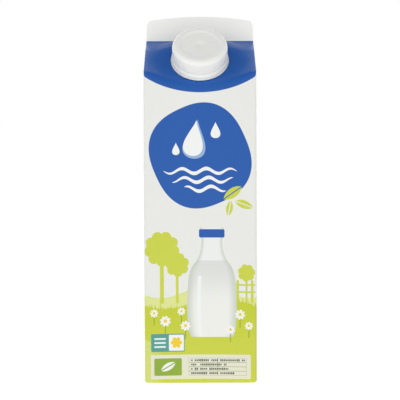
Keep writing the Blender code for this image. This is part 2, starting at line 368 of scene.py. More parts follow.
front_rows = broad_rows(FRONT)
back_rows = broad_rows(BACK)
print("rows:", len(front_rows), "columns:", len(front_rows[0]))

# %% [markdown]
# Every point of the board also gets its place on the flat blank, in millimetres: across from
# the middle of the front, and up from the base. The print is laid out on the blank, as a
# printer does, so it runs round corners and over creases without a break. The places are
# kept in a UV map named blank.


# %% Places on the flat blank
def climb(rows):
    """Distance up the board from the flat's lower edge to each point of each row."""
    start = BOTTOM_RADIUS * (1.0 - math.radians(90.0))
    heights = [[start] * len(rows[0])]
    for below, row in zip(rows, rows[1:]):
        last = heights[-1]
        heights.append([last[i] + (row[i] - below[i]).length for i in range(len(row))])
    return heights


def broad_places(rows, side):
    heights = climb(rows)
    outline = broad_outline(0.5)
    places = []
    for row in heights:
        line = []
        for (x, depth, across), height in zip(outline, row):
            spot = across if side == FRONT else 2.0 * PANEL_PITCH - across
            line.append((spot / MM, height / MM))
        places.append(line)
    return places


front_places = broad_places(front_rows, FRONT)
back_places = broad_places(back_rows, BACK)
print("the blank is", round(front_places[-1][PANEL_STEPS // 2][1], 1), "mm tall")

# %% [markdown]
# ## The folded-in sides of the roof
#
# Each side of the roof is a triangle that leans inwards, with a flap on each side of it that
# lies flat under a roof panel. Each surface is a grid between lines that the front and back
# already have, so every border meets its neighbour point for point.

# %% Lines of one side of the roof
GUSSET_DENT = 0.7 * MM
HEM_RUN = 0.14
HEM_TURN = 0.88
FOLD_SWELL = 0.18 * MM
LAYER_GROOVE = 0.13 * MM
SIDE_SEED = 7.0
BELOW_ROOF = 2.2 * BOARD
BELOW_HEM = 2.0 * BOARD
CREASE_PART = 0.9


def side_rows(end, sign):
    """A side panel, between the borders of the front and the back."""
    rows = []
    shares = body_shares() + [1.0] * (CREASE_STEPS // 2)
    for row, share in enumerate(shares):
        ahead = front_rows[row][end]
        behind = back_rows[row][end]
        line = []
        for step in range(SIDE_STEPS + 1):
            part = step / SIDE_STEPS
            level = share ** SIDE_BULGE_LIFT
            swell = panel_swell(2.0 * part - 1.0, level, SIDE_BULGE - RIPPLE / 2.0, sign * SIDE_SEED)
            point = ahead.lerp(behind, part)
            point.x += sign * swell
            line.append(point)
        rows.append(line)
    return rows


def side_places(rows, end, sign, first):
    """Places of a side panel, or of the triangle above it, from those of its borders."""
    places = []
    start = PANEL_REACH + CORNER_LENGTH
    for index, row in enumerate(rows):
        ahead = front_places[first + index][end][1]
        behind = back_places[first + index][end][1]
        line = []
        for step in range(len(row)):
            part = step / (len(row) - 1)
            across = start + 2.0 * PANEL_REACH * part
            line.append((sign * across / MM, ahead + (behind - ahead) * part))
        places.append(line)
    return places


def roof_parts():
    """Shares of the way up the roof, one for each row of it."""
    return [step / (ROOF_ROW - FOLD_ROW) for step in range(ROOF_ROW - FOLD_ROW + 1)]


def roof_height(rows, x, y):
    """Height of the roof over a place, between the four grid points round it."""
    last = len(rows[0]) - 2
    column = max(index for index in range(last + 1) if rows[FOLD_ROW][index].x <= x or index == 0)
    heights = []
    for line in (column, column + 1):
        pairs = [(rows[row][line], rows[row + 1][line]) for row in range(FOLD_ROW, ROOF_ROW)]
        low, high = min(pairs, key=lambda pair: abs((pair[0].y + pair[1].y) / 2.0 - y))
        share = (y - low.y) / (high.y - low.y)
        heights.append(low.z + (high.z - low.z) * share)
    left = rows[FOLD_ROW][column].x
    across = (x - left) / (rows[FOLD_ROW][column + 1].x - left)
    return heights[0] + (heights[1] - heights[0]) * across


def fold_in_line(rows, end, sign):
    """The crease from a corner to the tip. It stays below the roof panel over it."""
    tip = Vector((sign * TIP_GAP, 0.0, RIDGE))
    line = []
    for part in roof_parts():
        point = rows[FOLD_ROW][end].lerp(tip, part)
        if 0.0 < part < CREASE_PART:
            below = roof_height(rows, point.x, point.y) - BELOW_ROOF * smooth_step(part / HEM_RUN)
            point.z = min(point.z, below)
        line.append(point)
    return line


def gusset_rows(end, sign):
    """The triangle that leans inwards to a tip under the fin."""
    front_line = fold_in_line(front_rows, end, sign)
    back_line = fold_in_line(back_rows, end, sign)
    rows = []
    for part, left, right in zip(roof_parts(), front_line, back_line):
        line = []
        for step in range(SIDE_STEPS + 1):
            across = step / SIDE_STEPS
            dent = GUSSET_DENT * math.sin(math.pi * part) * math.sin(math.pi * across)
            point = left.lerp(right, across)
            point.z -= dent
            line.append(point)
        rows.append(line)
    return rows


def hem_line(rows, end, side):
    """The outer edge of a flap, two boards below the edge of the roof panel over it."""
    peak = Vector((rows[ROOF_ROW][end].x, 0.0, RIDGE))
    inward = Vector((0.0, -side * math.sin(roof_slope), -math.cos(roof_slope)))
    line = []
    for row, part in zip(range(FOLD_ROW, ROOF_ROW + 1), roof_parts()):
        point = rows[row][end] + inward * BELOW_HEM * smooth_step(part / HEM_RUN)
        line.append(point.lerp(peak, smooth_step((part - HEM_TURN) / (1.0 - HEM_TURN))))
    return line


def flap_rows(panel, end, sign, hem):
    """A flap under the roof, between the triangle's crease and the flap's outer edge."""
    rows = []
    for inner, outer in zip(fold_in_line(panel, end, sign), hem):
        rows.append([inner.lerp(outer, step / FLAP_STEPS) for step in range(FLAP_STEPS + 1)])
    return rows


def hem_rows(panel, end, sign, hem):
    """The tight fold from the edge of the roof panel to the flap."""
    rows = []
    for row, outer, part in zip(range(FOLD_ROW, ROOF_ROW + 1), hem, roof_parts()):
        line = []
        for step in range(PAIR_STEPS + 1):
            across = step / PAIR_STEPS
            point = panel[row][end].lerp(outer, across)
            point.x += sign * FOLD_SWELL * math.sin(math.pi * across) * smooth_step(part / HEM_RUN)
            line.append(point)
        rows.append(line)
    return rows


def fin_end_rows(end, sign):
    """The narrow end of the fin, where two tight folds lie side by side."""
    peak = Vector((front_rows[ROOF_ROW][end].x, 0.0, RIDGE))
    rows = []
    for row in range(ROOF_ROW, len(front_rows)):
        ahead = front_rows[row][end]
        behind = back_rows[row][end]
        centre = peak if row == ROOF_ROW else ahead.lerp(behind, 0.5)
        line = []
        for step in range(THICKNESS_STEPS + 1):
            across = (step % PAIR_STEPS) / PAIR_STEPS
            if step < PAIR_STEPS:
                point = ahead.lerp(centre, across)
            elif step < THICKNESS_STEPS:
                point = centre.lerp(behind, across)
            else:
                point = behind.copy()
            point.x += sign * FOLD_SWELL * math.sin(math.pi * across)
            line.append(point)
        rows.append(line)
    return rows


def fin_top_rows():
    """The cut top of the fin: four layers of board with a fine groove between each two."""
    columns = len(front_rows[-1])
    rows = []
    for column in range(columns):
        ahead = front_rows[-1][column]
        behind = back_rows[-1][column]
        line = []
        for step in range(THICKNESS_STEPS + 1):
            point = ahead.lerp(behind, step / THICKNESS_STEPS)
            inside = 0 < column < columns - 1
            between_layers = step % LAYER_STEPS == 0 and 0 < step < THICKNESS_STEPS
            if inside and between_layers:
                point.z -= LAYER_GROOVE
            if not inside:
                sign = -1.0 if column == 0 else 1.0
                across = (step % PAIR_STEPS) / PAIR_STEPS
                point.x += sign * FOLD_SWELL * math.sin(math.pi * across)
            line.append(point)
        rows.append(line)
    return rows


# %% [markdown]
# The grids are laid one after another in one bmesh, their shared borders are merged, and the
# base is filled. The base of such a carton is two wide flaps, one lapped over the other. A
# border and the lap are cut into the filled face with bisecting planes, and the inner flap is
# then lifted by the thickness of the board.

# %% Lay the grids and join them
BOARD_FACE = 0
RAW_EDGE = 1
WELD = 0.002 * MM
BASE_BORDER = 2.4 * MM
LAP_PLACE = 9.0 * MM
LAP_STEP = 0.12 * MM
LEVEL = 0.99


def lay_panel(builder, rows, places, material):
    """Lays a grid over rows of points, with each point's place on the blank."""
    columns = len(rows[0])
    made = bmesh.ops.create_grid(
        builder, x_segments=columns - 1, y_segments=len(rows) - 1, size=0.5)
    ordered = sorted(made["verts"], key=lambda vertex: (round(vertex.co.y, 5), vertex.co.x))
    spots = {vertex: divmod(index, columns) for index, vertex in enumerate(ordered)}
    for vertex, (row, column) in spots.items():
        vertex.co = rows[row][column]
    blank = builder.loops.layers.uv["blank"]
    faces = {face for vertex in ordered for face in vertex.link_faces}
    for face in faces:
        face.material_index = material
        for loop in face.loops:
            row, column = spots[loop.vert]
            loop[blank].uv = places[row][column]


def edge_places(rows, across):
    """Places for a narrow strip: all at one place across the blank."""
    return [[(across / MM, point.z / MM) for point in row] for row in rows]


def lap_the_base(builder):
    """Cuts a border and the lapped flaps into the flat face of the base."""
    edge = HALF - BOTTOM_RADIUS - BASE_BORDER
    sideways = Vector((1.0, 0.0, 0.0))
    forward = Vector((0.0, 1.0, 0.0))
    cuts = [(sideways, -edge), (sideways, edge), (forward, -edge), (forward, edge),
            (forward, LAP_PLACE), (forward, LAP_PLACE + LAP_STEP)]
    for direction, place in cuts:
        whole = [face for face in builder.faces if abs(face.normal.z) > LEVEL
                 and face.calc_center_median().z < WELD]
        geometry = list({line for face in whole for line in face.edges}) + whole
        geometry += list({vertex for face in whole for vertex in face.verts})
        bmesh.ops.bisect_plane(
            builder, geom=geometry, plane_co=direction * place, plane_no=direction)
    for vertex in builder.verts:
        flat = vertex.co.z < WELD
        within = max(abs(vertex.co.x), abs(vertex.co.y)) < edge + WELD
        if flat and within and vertex.co.y > LAP_PLACE + LAP_STEP / 2.0:
            vertex.co.z += BOARD


def carton_board():
    builder = bmesh.new()
    builder.loops.layers.uv.new("blank")
    lay_panel(builder, front_rows, front_places, BOARD_FACE)
    lay_panel(builder, back_rows, back_places, BOARD_FACE)
    for end, sign in ((0, -1.0), (-1, 1.0)):
        for first, rows in ((0, side_rows(end, sign)), (FOLD_ROW, gusset_rows(end, sign))):
            lay_panel(builder, rows, side_places(rows, end, sign, first), BOARD_FACE)
        for side, panel, corner in ((FRONT, front_rows, 0.5), (BACK, back_rows, 1.5)):
            hem = hem_line(panel, end, side)
            for rows in (flap_rows(panel, end, sign, hem), hem_rows(panel, end, sign, hem)):
                places = edge_places(rows, sign * corner * PANEL_PITCH)
                lay_panel(builder, rows, places, BOARD_FACE)
        rows = fin_end_rows(end, sign)
        lay_panel(builder, rows, edge_places(rows, sign * PANEL_PITCH), BOARD_FACE)
    rows = fin_top_rows()
    lay_panel(builder, rows, edge_places(rows, 0.0), RAW_EDGE)
    bmesh.ops.remove_doubles(builder, verts=builder.verts, dist=WELD)
    open_edges = [edge for edge in builder.edges if edge.is_boundary]
    print("open edges before the base is filled:", len(open_edges))
    bmesh.ops.holes_fill(builder, edges=open_edges, sides=0)
    bmesh.ops.recalc_face_normals(builder, faces=builder.faces)
    lap_the_base(builder)
    return builder


board_builder = carton_board()
loose = [edge for edge in board_builder.edges if not edge.is_manifold]
print("edges without two faces:", len(loose))
print("volume:", round(board_builder.calc_volume() * 1e6, 1), "cubic centimetres")

# %% [markdown]
# ## Spout, band and cap
#
# The cap is turned: one outline goes once round its axis. A cylinder with bevelled edges
# would give the same top, but not the fine ribs, which need points at even turns. The grooves
# between the ribs are pressed into the turned skirt afterwards, each as one wave of a cosine.

# %% Turned plastic
SEAM_GAP = 0.3 * MM
FLANGE_RADIUS = 18.1 * MM
FLANGE_TOP = 1.3 * MM
NECK_RADIUS = 15.0 * MM
BEAD_RADIUS = 17.5 * MM
BAND_TOP = 4.2 * MM
BAND_FOOT_RADIUS = 17.9 * MM
BAND_TOP_RADIUS = 17.4 * MM
CAP_RADIUS = 17.2 * MM
CAP_TOP = 14.2 * MM
CAP_EDGE_RADIUS = 3.2 * MM
DISH_RADIUS = 12.2 * MM
DISH_SLOPE = 1.0 * MM
DISH_DEPTH = 0.5 * MM
DISH_LIP = 0.8 * MM
DISH_LIP_TURN = 125.0
GATE_RADIUS = 0.9 * MM
GATE_DEPTH = 0.15 * MM
FINE_ROUND = 0.3 * MM
SOFT_ROUND = 0.4 * MM
RIB_COUNT = 72
RIB_DEPTH = 0.2 * MM
RIB_STEPS = 4
RIB_FADE = 1.4 * MM
SKIRT_DEPTH = 0.8 * MM
SKIRT_FOOT = 0.2 * MM
EDGE_STEPS = 9
ROUND_STEPS = 4
RING_STEPS = 160

spout_axis = Matrix.Translation(SPOUT_PLACE) @ Matrix.Rotation(SPOUT_TILT, 4, "X")


def arc(centre_radius, centre_height, radius, start, stop, steps):
    """Points of a round edge in a turned outline, from one angle to another in degrees."""
    points = []
    for step in range(steps + 1):
        angle = math.radians(start + (stop - start) * step / steps)
        points.append((centre_radius + radius * math.cos(angle),
                       centre_height + radius * math.sin(angle)))
    return points


def lower_edge(radius, height, size):
    """The rounded outer edge at the foot of a turned piece."""
    return arc(radius - size, height + size, size, -90.0, 0.0, ROUND_STEPS)


def upper_edge(radius, height, size, steps=ROUND_STEPS):
    """The rounded outer edge at the top of a turned piece."""
    return arc(radius - size, height - size, size, 0.0, 90.0, steps)


def turned(outline, steps, closed):
    """Turns an outline of (radius, height) points once round the Z axis."""
    builder = bmesh.new()
    points = [builder.verts.new((radius, 0.0, height)) for radius, height in outline]
    pairs = list(zip(points, points[1:]))
    if closed:
        pairs.append((points[-1], points[0]))
    edges = [builder.edges.new(pair) for pair in pairs]
    bmesh.ops.spin(
        builder, geom=points + edges, cent=(0.0, 0.0, 0.0), axis=(0.0, 0.0, 1.0),
        dvec=(0.0, 0.0, 0.0), angle=math.tau, steps=steps, use_merge=True,
        use_duplicate=False)
    bmesh.ops.remove_doubles(builder, verts=builder.verts, dist=0.01 * MM)
    bmesh.ops.recalc_face_normals(builder, faces=builder.faces)
    return builder


def set_on_roof(builder):
    """Moves a turned piece from the Z axis to its place on the roof."""
    bmesh.ops.transform(builder, matrix=spout_axis, verts=builder.verts)
    return builder


def cap_outline():
    foot = BAND_TOP + SEAM_GAP
    dish = CAP_TOP - DISH_DEPTH
    outline = [(0.0, foot)] + lower_edge(CAP_RADIUS, foot, SOFT_ROUND)
    outline += [(CAP_RADIUS, foot + (CAP_TOP - foot - CAP_EDGE_RADIUS) * 0.5)]
    outline += upper_edge(CAP_RADIUS, CAP_TOP, CAP_EDGE_RADIUS, EDGE_STEPS)
    outline += arc(DISH_RADIUS + FINE_ROUND, CAP_TOP - DISH_LIP, DISH_LIP, 90.0, DISH_LIP_TURN,
                   ROUND_STEPS)
    for radius in (DISH_RADIUS - DISH_SLOPE, DISH_RADIUS - DISH_SLOPE * 1.6, DISH_RADIUS * 0.5,
                   GATE_RADIUS):
        outline.append((radius, dish))
    return outline + [(GATE_RADIUS - FINE_ROUND, dish - GATE_DEPTH), (0.0, dish - GATE_DEPTH)]


def screw_cap():
    builder = turned(cap_outline(), RIB_COUNT * RIB_STEPS, False)
    skirt_foot = BAND_TOP + SEAM_GAP + SKIRT_FOOT
    skirt_top = CAP_TOP - CAP_EDGE_RADIUS
    for vertex in builder.verts:
        radius = vertex.co.xy.length
        if radius < CAP_RADIUS - SKIRT_DEPTH or vertex.co.z < skirt_foot:
            continue
        turn = math.atan2(vertex.co.y, vertex.co.x) / math.tau * RIB_COUNT
        groove = 0.5 - 0.5 * math.cos(math.tau * turn)
        fade = 1.0 - smooth_step((vertex.co.z - skirt_top) / RIB_FADE)
        vertex.co.xy *= 1.0 - RIB_DEPTH * groove * fade / radius
    return set_on_roof(builder)


cap_builder = screw_cap()
print("cap faces:", len(cap_builder.faces))


# %% The band, its bridges and the flange
BAND_BORE = NECK_RADIUS + SEAM_GAP
BAND_ROUND = 0.35 * MM
BRIDGE_COUNT = 12
BRIDGE_SIZE = (1.0 * MM, 0.8 * MM, 0.7 * MM, 1.0)
BRIDGE_PLACE = CAP_RADIUS - 0.75 * MM
SKIN_RADIUS = CAP_RADIUS - 0.45 * MM
SKIN_LAP = 0.15 * MM


def tamper_band():
    foot = FLANGE_TOP + SEAM_GAP
    outline = [(BAND_BORE, foot)] + lower_edge(BAND_FOOT_RADIUS, foot, FINE_ROUND)
    outline += upper_edge(BAND_TOP_RADIUS, BAND_TOP, BAND_ROUND) + [(BAND_BORE, BAND_TOP)]
    return set_on_roof(turned(outline, RING_STEPS, True))


def band_bridges():
    """The thin bridges that tear when the cap is first turned, and the skin behind them."""
    low = BAND_TOP - SKIN_LAP
    high = BAND_TOP + SEAM_GAP + SKIN_LAP
    outline = [(BAND_BORE, low), (SKIN_RADIUS, low), (SKIN_RADIUS, high), (BAND_BORE, high)]
    builder = set_on_roof(turned(outline, RING_STEPS, True))
    place = Matrix.Translation((BRIDGE_PLACE, 0.0, BAND_TOP + SEAM_GAP / 2.0))
    for index in range(BRIDGE_COUNT):
        made = bmesh.ops.create_cube(builder, size=1.0)
        turn = Matrix.Rotation(math.tau * (index + 0.5) / BRIDGE_COUNT, 4, "Z")
        matrix = spout_axis @ turn @ place @ Matrix.Diagonal(BRIDGE_SIZE)
        bmesh.ops.transform(builder, matrix=matrix, verts=made["verts"])
    return builder


def spout_flange():
    bead_top = FLANGE_TOP + SEAM_GAP * 0.9
    outline = [(0.0, SEAM_GAP)] + lower_edge(FLANGE_RADIUS, SEAM_GAP, FINE_ROUND)
    outline += upper_edge(FLANGE_RADIUS, FLANGE_TOP, SOFT_ROUND)
    outline += [(BEAD_RADIUS, FLANGE_TOP), (BEAD_RADIUS - FINE_ROUND, bead_top)]
    outline += [(NECK_RADIUS, bead_top), (NECK_RADIUS, BAND_TOP), (0.0, BAND_TOP)]
    return set_on_roof(turned(outline, RING_STEPS, False))


band_builder = tamper_band()
bridge_builder = band_bridges()
flange_builder = spout_flange()
print("band faces:", len(band_builder.faces), "flange faces:", len(flange_builder.faces))

# %% [markdown]
# The board's own marks come from its shape. Each point gets a value that says how sharply the
# board is folded there, found from the angles between the faces round it. The print cracks
# along such folds first, so the finish can read this value later on.


# %% Mark the folds and the base
FOLD_ANGLE = math.radians(14.0)
BASE_PLACE = -60.0
BASE_SWELL = 0.45 * MM


def mark_folds(builder):
    fold = builder.verts.layers.float.new("fold")
    for vertex in builder.verts:
        angles = [edge.calc_face_angle(0.0) for edge in vertex.link_edges]
        vertex[fold] = smooth_step(max(angles) / FOLD_ANGLE)


def place_the_base(builder):
    """The base lies off the printed part of the blank."""
    blank = builder.loops.layers.uv["blank"]
    inner = HALF - BOTTOM_RADIUS + BASE_SWELL
    count = 0
    for face in builder.faces:
        reach = max(max(abs(v.co.x), abs(v.co.y)) for v in face.verts)
        top = max(v.co.z for v in face.verts)
        if reach > inner or top > 2.0 * BOARD:
            continue
        count += 1
        for loop in face.loops:
            loop[blank].uv = (loop.vert.co.x / MM, loop.vert.co.y / MM + BASE_PLACE)
    return count


mark_folds(board_builder)
print("faces in the base:", place_the_base(board_builder))

# %% [markdown]
# ## Ink
#
# The print is made of shader nodes, not of a picture: each shape is a small sum that says how
# far inside the shape a point of the blank lies. So it stays sharp at any size, and a colour
# or a place is one number. The first helpers shorten the making of nodes, which always go into
# the tree that is worked on. Then come groups for the shapes, each with the same three first
# inputs: where the point is, where the shape's centre is, and how far the shape is turned.


# %% Short ways to make shader nodes
def work_on(tree):
    """Makes a node tree the one that new nodes go into."""
    global current_tree
    current_tree = tree


def plug(value, socket):
    """Links a socket, or sets a plain value."""
    if isinstance(value, bpy.types.NodeSocket):
        current_tree.links.new(value, socket)
    else:
        socket.default_value = value


def node(kind, inputs, **settings):
    made = current_tree.nodes.new("ShaderNode" + kind)
    for name, value in settings.items():
        setattr(made, name, value)
    for key, value in inputs.items():
        plug(value, made.inputs[key])
    return made


def maths(operation, first, second=0.0, third=0.0):
    made = node("Math", {0: first, 1: second, 2: third}, operation=operation)
    return made.outputs[0]


def times(first, second):
    return maths("MULTIPLY", first, second)


def over(first, second):
    return maths("DIVIDE", first, second)


def plus(first, second):
    return maths("ADD", first, second)


def minus(first, second):
    return maths("SUBTRACT", first, second)


def vector_maths(operation, first, second=(0.0, 0.0, 0.0)):
    made = node("VectorMath", {0: first, 1: second}, operation=operation)
    one_number = operation in ("LENGTH", "DISTANCE", "DOT_PRODUCT")
    return made.outputs[1] if one_number else made.outputs[0]


def split(vector):
    """The three parts of a vector, each as its length along one axis."""
    axes = ((1.0, 0.0, 0.0), (0.0, 1.0, 0.0), (0.0, 0.0, 1.0))
    return [vector_maths("DOT_PRODUCT", vector, axis) for axis in axes]


def join(x, y):
    return node("CombineXYZ", {0: x, 1: y, 2: 0.0}).outputs[0]


def noise_at(place, scale, detail, roughness=0.5):
    """Soft random values over a place."""
    inputs = {"Vector": place, "Scale": scale, "Detail": detail, "Roughness": roughness}
    return node("TexNoise", inputs).outputs[0]


def spread(value, low, high, new_low, new_high):
    """Maps a value from one range to another along a soft S."""
    ranges = {0: value, 1: low, 2: high, 3: new_low, 4: new_high}
    return node("MapRange", ranges, interpolation_type="SMOOTHSTEP").outputs[0]


INK_EDGE = 0.12


def soft_edge(inside):
    """1 inside a shape and 0 outside it, from the distance inside in millimetres."""
    return spread(inside, -INK_EDGE, INK_EDGE, 0.0, 1.0)


# %% Groups with named inputs
ORIGIN = (0.0, 0.0, 0.0)


def new_group(name, inputs, outputs):
    tree = bpy.data.node_groups.new(name, "ShaderNodeTree")
    work_on(tree)
    for label, value in inputs.items():
        kind = "Float"
        if isinstance(value, tuple):
            kind = "Vector" if len(value) == 3 else "Color"
        socket = tree.interface.new_socket(label, in_out="INPUT", socket_type="NodeSocket" + kind)
        socket.default_value = value
    for label, kind in outputs.items():
        tree.interface.new_socket(label, in_out="OUTPUT", socket_type="NodeSocket" + kind)
    entry = tree.nodes.new("NodeGroupInput").outputs
    result = tree.nodes.new("NodeGroupOutput").inputs
    return tree, entry, result


def use(group, values):
    """Puts a group into the current tree and returns its outputs."""
    made = current_tree.nodes.new("ShaderNodeGroup")
    made.node_tree = group
    for key, value in values.items():
        plug(value, made.inputs[key])
    return made.outputs


local_place, entry, result = new_group(
    "local_place", {"Place": ORIGIN, "Centre": ORIGIN, "Turn": 0.0}, {"Place": "Vector"})
offset = vector_maths("SUBTRACT", entry["Place"], entry["Centre"])
turn_back = times(entry["Turn"], -1.0)
turned_back = node("VectorRotate", {"Vector": offset, "Angle": turn_back}, rotation_type="Z_AXIS")
plug(turned_back.outputs[0], result["Place"])


def shape_group(name, inputs, outputs=None):
    """A group for one ink shape, with the point's place as seen from the shape's centre."""
    given = {"Place": ORIGIN, "Centre": ORIGIN, "Turn": 0.0}
    given.update(inputs)
    tree, entry, result = new_group(name, given, outputs or {"Mask": "Float"})
    keys = ("Place", "Centre", "Turn")
    local = use(local_place, {key: entry[key] for key in keys})["Place"]
    x, y = split(local)[:2]
    return tree, entry, result, x, y


# %% A pebble: a disc, an oval or anything up to a soft square
pebble, entry, result, x, y = shape_group("ink_pebble", {"Wide": 10.0, "High": 10.0, "Power": 2.0})
across = maths("ABSOLUTE", over(x, entry["Wide"]))
up = maths("ABSOLUTE", over(y, entry["High"]))
across = maths("POWER", across, entry["Power"])
up = maths("POWER", up, entry["Power"])
root = over(1.0, entry["Power"])
reach = maths("POWER", plus(across, up), root)
least = maths("MINIMUM", entry["Wide"], entry["High"])
inside = times(minus(1.0, reach), least)
plug(soft_edge(inside), result["Mask"])

# %% A bar with round corners
bar, entry, result, x, y = shape_group("ink_bar", {"Wide": 10.0, "High": 4.0, "Round": 1.0})
beyond = []
for place_part, size in ((x, entry["Wide"]), (y, entry["High"])):
    length = minus(maths("ABSOLUTE", place_part), size)
    beyond.append(maths("MAXIMUM", plus(length, entry["Round"]), 0.0))
outside = vector_maths("LENGTH", join(beyond[0], beyond[1]))
inside = minus(entry["Round"], outside)
plug(soft_edge(inside), result["Mask"])

# %% A blossom, or the crown of a tree: a disc with lobes
LOBE_ROUNDNESS = 0.7
blossom, entry, result, x, y = shape_group(
    "ink_blossom", {"Radius": 5.0, "Lobes": 7.0, "Depth": 0.3})
angle = maths("ARCTAN2", y, x)
half_turns = times(angle, times(entry["Lobes"], 0.5))
lobe = maths("POWER", maths("ABSOLUTE", maths("COSINE", half_turns)), LOBE_ROUNDNESS)
shape = times(minus(1.0, lobe), entry["Depth"])
radius = times(minus(1.0, shape), entry["Radius"])
inside = minus(radius, vector_maths("LENGTH", join(x, y)))
plug(soft_edge(inside), result["Mask"])

# %% A drop: round below and pointed above
FULL_WIDTH = 3.08
drop, entry, result, x, y = shape_group("ink_drop", {"Wide": 4.0, "High": 8.0})
share = maths("MULTIPLY_ADD", over(y, entry["High"]), 0.5, 0.5)
share = maths("MINIMUM", maths("MAXIMUM", share, 0.0), 1.0)
rise = maths("POWER", share, 0.5)
taper = maths("POWER", minus(1.0, share), 1.5)
width = times(times(rise, taper), FULL_WIDTH)
width = times(width, entry["Wide"])
inside = minus(width, maths("ABSOLUTE", x))
plug(soft_edge(minus(inside, INK_EDGE)), result["Mask"])

# %% A leaf: where two discs overlap, with a bare rib
leaf, entry, result, x, y = shape_group("ink_leaf", {"Long": 6.0, "Wide": 2.5, "Rib": 0.3})
square = plus(maths("POWER", entry["Long"], 2.0), maths("POWER", entry["Wide"], 2.0))
radius = over(square, times(entry["Wide"], 2.0))
away = minus(radius, entry["Wide"])
from_rib = maths("ABSOLUTE", y)
far = vector_maths("LENGTH", join(x, plus(from_rib, away)))
blade = soft_edge(minus(radius, far))
bare = soft_edge(minus(from_rib, entry["Rib"]))
plug(times(blade, bare), result["Mask"])

# %% A wavy stroke
wave, entry, result, x, y = shape_group(
    "ink_wave", {"Long": 20.0, "Swing": 1.5, "Length": 12.0, "Thick": 0.9})
angle = times(over(x, entry["Length"]), math.tau)
line = times(maths("SINE", angle), entry["Swing"])
share = over(x, entry["Long"])
rest = minus(1.0, times(share, share))
taper = maths("POWER", maths("MAXIMUM", rest, 0.0), 0.5)
away = maths("ABSOLUTE", minus(y, line))
inside = minus(times(entry["Thick"], taper), away)
plug(soft_edge(minus(inside, INK_EDGE)), result["Mask"])

# %% A hill: all that lies below a wavy line that closes on itself round the carton
BLANK_LENGTH = 4.0 * PANEL_PITCH / MM
hill, entry, result, x, y = shape_group("ink_hill", {"Swing": 4.0, "Waves": 3.0, "Tufts": 0.0})
turns = times(over(x, BLANK_LENGTH), entry["Waves"])
angle = times(turns, math.tau)
line = times(maths("SINE", angle), entry["Swing"])
blades = node("TexNoise", {"W": x, "Scale": 0.9, "Detail": 2.0}, noise_dimensions="1D")
tuft = maths("POWER", blades.outputs[0], 3.0)
line = maths("MULTIPLY_ADD", tuft, entry["Tufts"], line)
plug(soft_edge(minus(line, y)), result["Mask"])

# %% [markdown]
# Small print is not lettering here. It is rows of short bars with gaps, as an eye sees print
# that is too small to read. Random numbers that depend only on the row and the letter decide
# the gaps, so nothing has to be listed.


# %% Rows of small print, stripes and a ruled table
def window(entry, x, y):
    """1 inside the block that a piece of small print fills."""
    wide = minus(entry["Wide"], maths("ABSOLUTE", x))
    high = minus(entry["High"], maths("ABSOLUTE", y))
    return soft_edge(maths("MINIMUM", wide, high))


def chance(x, y):
    """A random number that stays the same for the same two numbers."""
    return node("TexWhiteNoise", {"Vector": join(x, y)}, noise_dimensions="2D").outputs[0]


LETTER_WIDTH = 0.42
LETTER_FILL = 0.38
LOW_LETTER = 0.16
TALLER_BY = 0.12
GAP_SHARE = 0.17
SHORTER_BY = -0.7
words, entry, result, x, y = shape_group("ink_words", {"Wide": 20.0, "High": 8.0, "Pitch": 3.4})
rows = over(y, entry["Pitch"])
row = maths("FLOOR", rows)
in_row = minus(minus(rows, row), 0.5)
letters = over(x, times(entry["Pitch"], LETTER_WIDTH))
letter = maths("FLOOR", letters)
in_letter = minus(minus(letters, letter), 0.5)
tall = maths("MULTIPLY_ADD", chance(row, letter), TALLER_BY, LOW_LETTER)
row_part = minus(tall, maths("ABSOLUTE", in_row))
letter_part = minus(LETTER_FILL, maths("ABSOLUTE", in_letter))
letter_part = times(letter_part, LETTER_WIDTH)
inside = times(maths("MINIMUM", row_part, letter_part), entry["Pitch"])
printed = maths("GREATER_THAN", chance(letter, row), GAP_SHARE)
row_length = maths("MULTIPLY_ADD", chance(row, 7.5), SHORTER_BY, 1.0)
row_end = maths("LESS_THAN", over(x, entry["Wide"]), row_length)
mask = times(soft_edge(inside), times(printed, row_end))
plug(times(mask, window(entry, x, y)), result["Mask"])

stripes, entry, result, x, y = shape_group("ink_stripes", {"Wide": 14.0, "High": 7.0, "Pitch": 0.6})
stripe = maths("FLOOR", over(x, entry["Pitch"]))
dark = maths("GREATER_THAN", chance(stripe, 3.5), 0.5)
plug(times(dark, window(entry, x, y)), result["Mask"])

table, entry, result, x, y = shape_group(
    "ink_table", {"Wide": 20.0, "High": 8.0, "Rows": 4.0, "Columns": 3.0, "Line": 0.18})
from_lines = []
for place_part, size, count in ((x, "Wide", "Columns"), (y, "High", "Rows")):
    pitch = over(times(entry[size], 2.0), entry[count])
    share = over(plus(place_part, entry[size]), pitch)
    near = maths("PINGPONG", share, 0.5)
    from_lines.append(times(near, pitch))
nearest = maths("MINIMUM", from_lines[0], from_lines[1])
ruled = soft_edge(minus(entry["Line"], nearest))
plug(times(ruled, window(entry, x, y)), result["Mask"])

# %% A bottle, from a curve of its half width
BOTTLE_CURVE = ((0.0, 0.80), (0.03, 0.93), (0.12, 1.0), (0.50, 0.98), (0.60, 0.90), (0.72, 0.58),
                (0.80, 0.46), (0.90, 0.43), (0.93, 0.50), (0.97, 0.52), (1.0, 0.47))
bottle, entry, result, x, y = shape_group(
    "ink_bottle", {"Wide": 12.0, "High": 30.0}, {"Mask": "Float", "Across": "Float", "Up": "Float"})
share = maths("MULTIPLY_ADD", over(y, entry["High"]), 0.5, 0.5)
outline = node("FloatCurve", {"Value": share})
curve = outline.mapping.curves[0]
curve.points[0].location = BOTTLE_CURVE[0]
curve.points[1].location = BOTTLE_CURVE[-1]
for point in BOTTLE_CURVE[1:-1]:
    curve.points.new(point[0], point[1])
outline.mapping.update()
width = times(outline.outputs[0], entry["Wide"])
side_part = minus(width, maths("ABSOLUTE", x))
end_part = minus(entry["High"], maths("ABSOLUTE", y))
plug(soft_edge(maths("MINIMUM", side_part, end_part)), result["Mask"])
plug(over(x, width), result["Across"])
plug(share, result["Up"])
